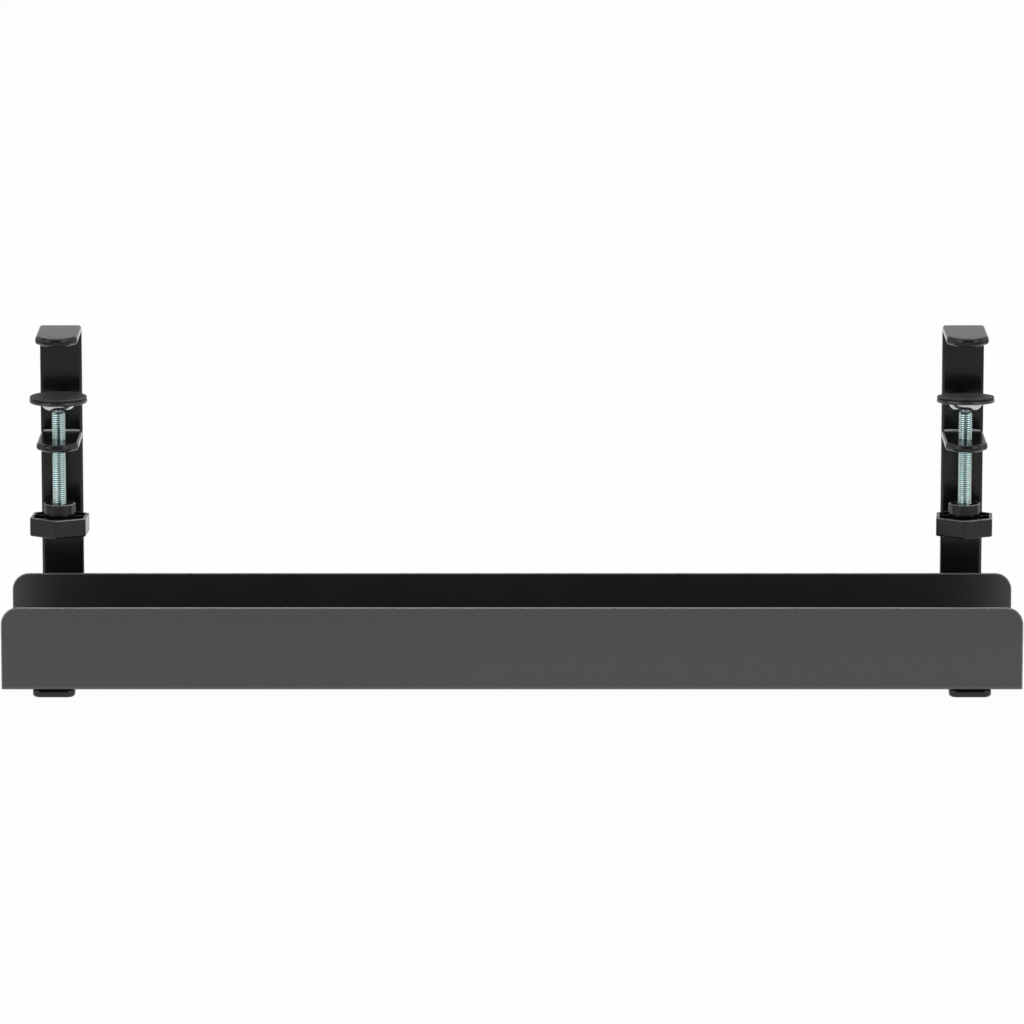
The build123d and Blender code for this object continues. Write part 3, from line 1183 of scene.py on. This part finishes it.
class SwivelPad(ClampPart):
    """The pad on the screw's ball: cup, steel disc and rubber."""

    def dress(self) -> None:
        """Dresses the pad's three solids."""
        keep_node(self.named("socket_cup"), BLACK_NICKEL)
        keep_node(self.named("pad_plate"), PLATE_COAT)
        keep_node(self.named("rubber_pad"), PAD_RUBBER)


class Knob(ClampPart):
    """The six-sided knob and the nut inside it."""

    def dress(self) -> None:
        """Dresses the knob and its nut."""
        keep_node(self.named("knob"), KNOB_PLASTIC)
        keep_node(self.named("knob_nut"), ZINC)


class FloorFixings(ClampPart):
    """The screws and washers that hold the tray to one leg."""

    def dress(self) -> None:
        """Dresses the screws and the washers."""
        keep_node(self.named("floor_screws"), BLACK_NICKEL)
        keep_node(self.named("floor_washers"), BLACK_NICKEL)


@dataclass(frozen=True)
class SoftLight:
    """A rectangular soft light.

    Attributes:
        name: The light's name.
        place: Its middle.
        target: The point that it faces.
        size: Its width and length.
        power: Its power in watts.
    """

    name: str
    place: tuple[float, float, float]
    target: tuple[float, float, float]
    size: Pair
    power: float

    def build(self) -> None:
        """Adds the light to the scene."""
        data = bpy.data.lights.new(self.name, "AREA")
        data.shape = "RECTANGLE"
        data.size, data.size_y = self.size
        data.energy = self.power
        light = bpy.data.objects.new(self.name, data)
        light.location = self.place
        facing = Vector(self.target) - Vector(self.place)
        light.rotation_euler = facing.to_track_quat("-Z", "Y").to_euler()
        bpy.context.scene.collection.objects.link(light)


@dataclass
class Studio:
    """White floor and background, soft light from above and from behind, and the camera.

    Attributes:
        floor_half: Half the floor's width.
        floor_drop: How far it lies under the legs, so that the two faces don't fall together.
        floor_colour: The floor's colour.
        floor_white: How much of the floor's own white the camera and reflections see.
        near_floor: Y between which the floor in reflections turns from dim, far in front, to white.
        side_floor: Distances from the middle between which it turns to dim at the sides.
        far_floor_level: How bright the floor far in front is in reflections.
        side_floor_level: How bright the floor far aside is in reflections.
        world_levels: Strength of the world in front and behind, as diffuse surfaces see it.
        world_turn: Y of the directions between which it turns from one to the other.
        mirrored_levels: Strength of the world in front and behind, as reflections see it.
        mirrored_turn: Y of the directions between which that turns.
        side_box_level: Strength of the soft boxes at both sides of the camera, as reflections see them.
        side_box_start: Distances aside of the directions where they begin and where they are full.
        side_box_top: Z of the directions where they begin to fade and where they are gone.
        side_box_fall: Share of their strength that is left straight aside.
        side_box_back: Y of the directions between which it falls to that.
        lights: The soft lights.
        camera_place: The camera's place.
        camera_pitch: How far it looks down, in degrees.
        camera_lens: Its focal length in millimetres on a 36 mm sensor.
    """

    floor_half: float = 5.0
    floor_drop: float = 0.1 * MM
    floor_colour: Colour = (0.85, 0.85, 0.85)
    floor_white: float = 0.97
    near_floor: Pair = (-0.58, -0.25)
    side_floor: Pair = (0.6, 1.0)
    far_floor_level: float = 0.65
    side_floor_level: float = 0.45
    world_levels: Pair = (0.12, 0.6)
    world_turn: Pair = (-0.4, 0.5)
    mirrored_levels: Pair = (0.04, 0.5)
    mirrored_turn: Pair = (0.1, 0.7)
    side_box_level: float = 3.0
    side_box_start: Pair = (0.36, 0.6)
    side_box_top: Pair = (0.25, 0.6)
    side_box_fall: float = 0.33
    side_box_back: Pair = (-0.5, -0.1)
    lights: tuple[SoftLight, ...] = (
        SoftLight("overhead", (0.0, 0.0, 1.6), (0.0, 0.0, 0.0), (2.4, 1.6), 20.0),
    )
    camera_place: tuple[float, float, float] = (0.0, -4.26104, 0.90372)
    camera_pitch: float = 10.6684
    camera_lens: float = 257.21

    def floor(self) -> None:
        """Adds the floor, which keeps the object's shadow and can be looked through from below."""
        half = self.floor_half
        plan = ((-half, -half), (half, -half), (half, half), (-half, half))
        corners = [Vector((x, y, -self.floor_drop)) for x, y in plan]
        mesh = bpy.data.meshes.new("studio_floor")
        mesh.from_pydata(corners, [], [(0, 1, 2, 3)])
        floor = bpy.data.objects.new("studio_floor", mesh)
        bpy.context.scene.collection.objects.link(floor)
        material = bpy.data.materials.new("studio_floor")
        material.use_nodes = True
        nodes = NodeTree(material.node_tree)
        paper = nodes.add("BsdfDiffuse", {"Color": self.floor_colour})
        path = nodes.add("LightPath").outputs
        place = nodes.add("TexCoord").outputs["Object"]
        axes = nodes.add("SeparateXYZ", {"Vector": place}).outputs
        side_level = self.side_floor_level
        above_side = (self.far_floor_level - side_level, 1.0 - side_level)
        in_front = nodes.span(axes["Y"], self.near_floor, above_side)
        middle = nodes.span(nodes.math("ABSOLUTE", axes["X"]), self.side_floor, (1.0, 0.0))
        mirrored = nodes.math("ADD", nodes.math("MULTIPLY", in_front, middle), side_level)
        level = nodes.math("MAXIMUM", mirrored, path["Is Camera Ray"])
        white = nodes.add("Emission", {"Color": WHITE, "Strength": level})
        seen = nodes.math("MAXIMUM", path["Is Camera Ray"], path["Is Glossy Ray"])
        share = nodes.math("MULTIPLY", seen, self.floor_white)
        mixed = nodes.add("MixShader", {"#0": share, "#1": paper.outputs[0], "#2": white.outputs[0]})
        below = nodes.add("NewGeometry").outputs["Backfacing"]
        clear = nodes.add("BsdfTransparent").outputs[0]
        surface = nodes.add("MixShader", {"#0": below, "#1": mixed.outputs[0], "#2": clear})
        nodes.add("OutputMaterial", {"Surface": surface.outputs[0]})
        mesh.materials.append(material)

    def world(self) -> None:
        """Adds the background: white to the camera and behind, dim in front for reflections."""
        world = bpy.data.worlds.new("studio_world")
        world.use_nodes = True
        bpy.context.scene.world = world
        nodes = NodeTree(world.node_tree)
        path = nodes.add("LightPath").outputs
        direction = nodes.add("TexCoord").outputs["Generated"]
        axes = nodes.add("SeparateXYZ", {"Vector": direction}).outputs
        plain_level = nodes.span(axes["Y"], self.world_turn, self.world_levels)
        sideways = nodes.math("ABSOLUTE", axes["X"])
        boxes = nodes.span(sideways, self.side_box_start, (0.0, self.side_box_level))
        boxes = nodes.math("MULTIPLY", boxes, nodes.span(axes["Z"], self.side_box_top, (1.0, 0.0)))
        fall = nodes.span(axes["Y"], self.side_box_back, (1.0, self.side_box_fall))
        boxes = nodes.math("MULTIPLY", boxes, fall)
        behind = nodes.span(axes["Y"], self.mirrored_turn, self.mirrored_levels)
        mirrored_level = nodes.math("MAXIMUM", behind, boxes)
        plain, mirrored, white = (
            nodes.add("Background", {"Color": WHITE, "Strength": level}).outputs[0]
            for level in (plain_level, mirrored_level, 1.0)
        )
        glossy = nodes.math("MAXIMUM", path["Is Glossy Ray"], path["Is Transmission Ray"])
        lit = nodes.add("MixShader", {"#0": glossy, "#1": plain, "#2": mirrored}).outputs[0]
        seen = nodes.add("MixShader", {"#0": path["Is Camera Ray"], "#1": lit, "#2": white})
        nodes.add("OutputWorld", {"Surface": seen.outputs[0]})

    def camera(self) -> None:
        """Adds the camera at the photograph's angle."""
        data = bpy.data.cameras.new("camera")
        data.sensor_width = 36.0
        data.lens = self.camera_lens
        data.clip_end = 50.0
        camera = bpy.data.objects.new("camera", data)
        camera.location = self.camera_place
        camera.rotation_euler = (math.radians(90.0 - self.camera_pitch), 0.0, 0.0)
        bpy.context.scene.collection.objects.link(camera)
        bpy.context.scene.camera = camera

    def build(self) -> None:
        """Adds everything that isn't part of the object."""
        self.floor()
        self.world()
        for light in self.lights:
            light.build()
        self.camera()
        bpy.context.scene.view_settings.view_transform = "Standard"


def main() -> None:
    """Builds the object's pieces in order, then the studio."""
    logging.basicConfig(level=logging.INFO, format="%(name)s %(message)s")
    Tray().dress()
    for side in Side:
        Bracket(side).dress()
        Weld(side).dress()
        ClampScrew(side).dress()
        SwivelPad(side).dress()
        Knob(side).dress()
        FloorFixings(side).dress()
    Studio().build()


if __name__ == "__main__":
    main()
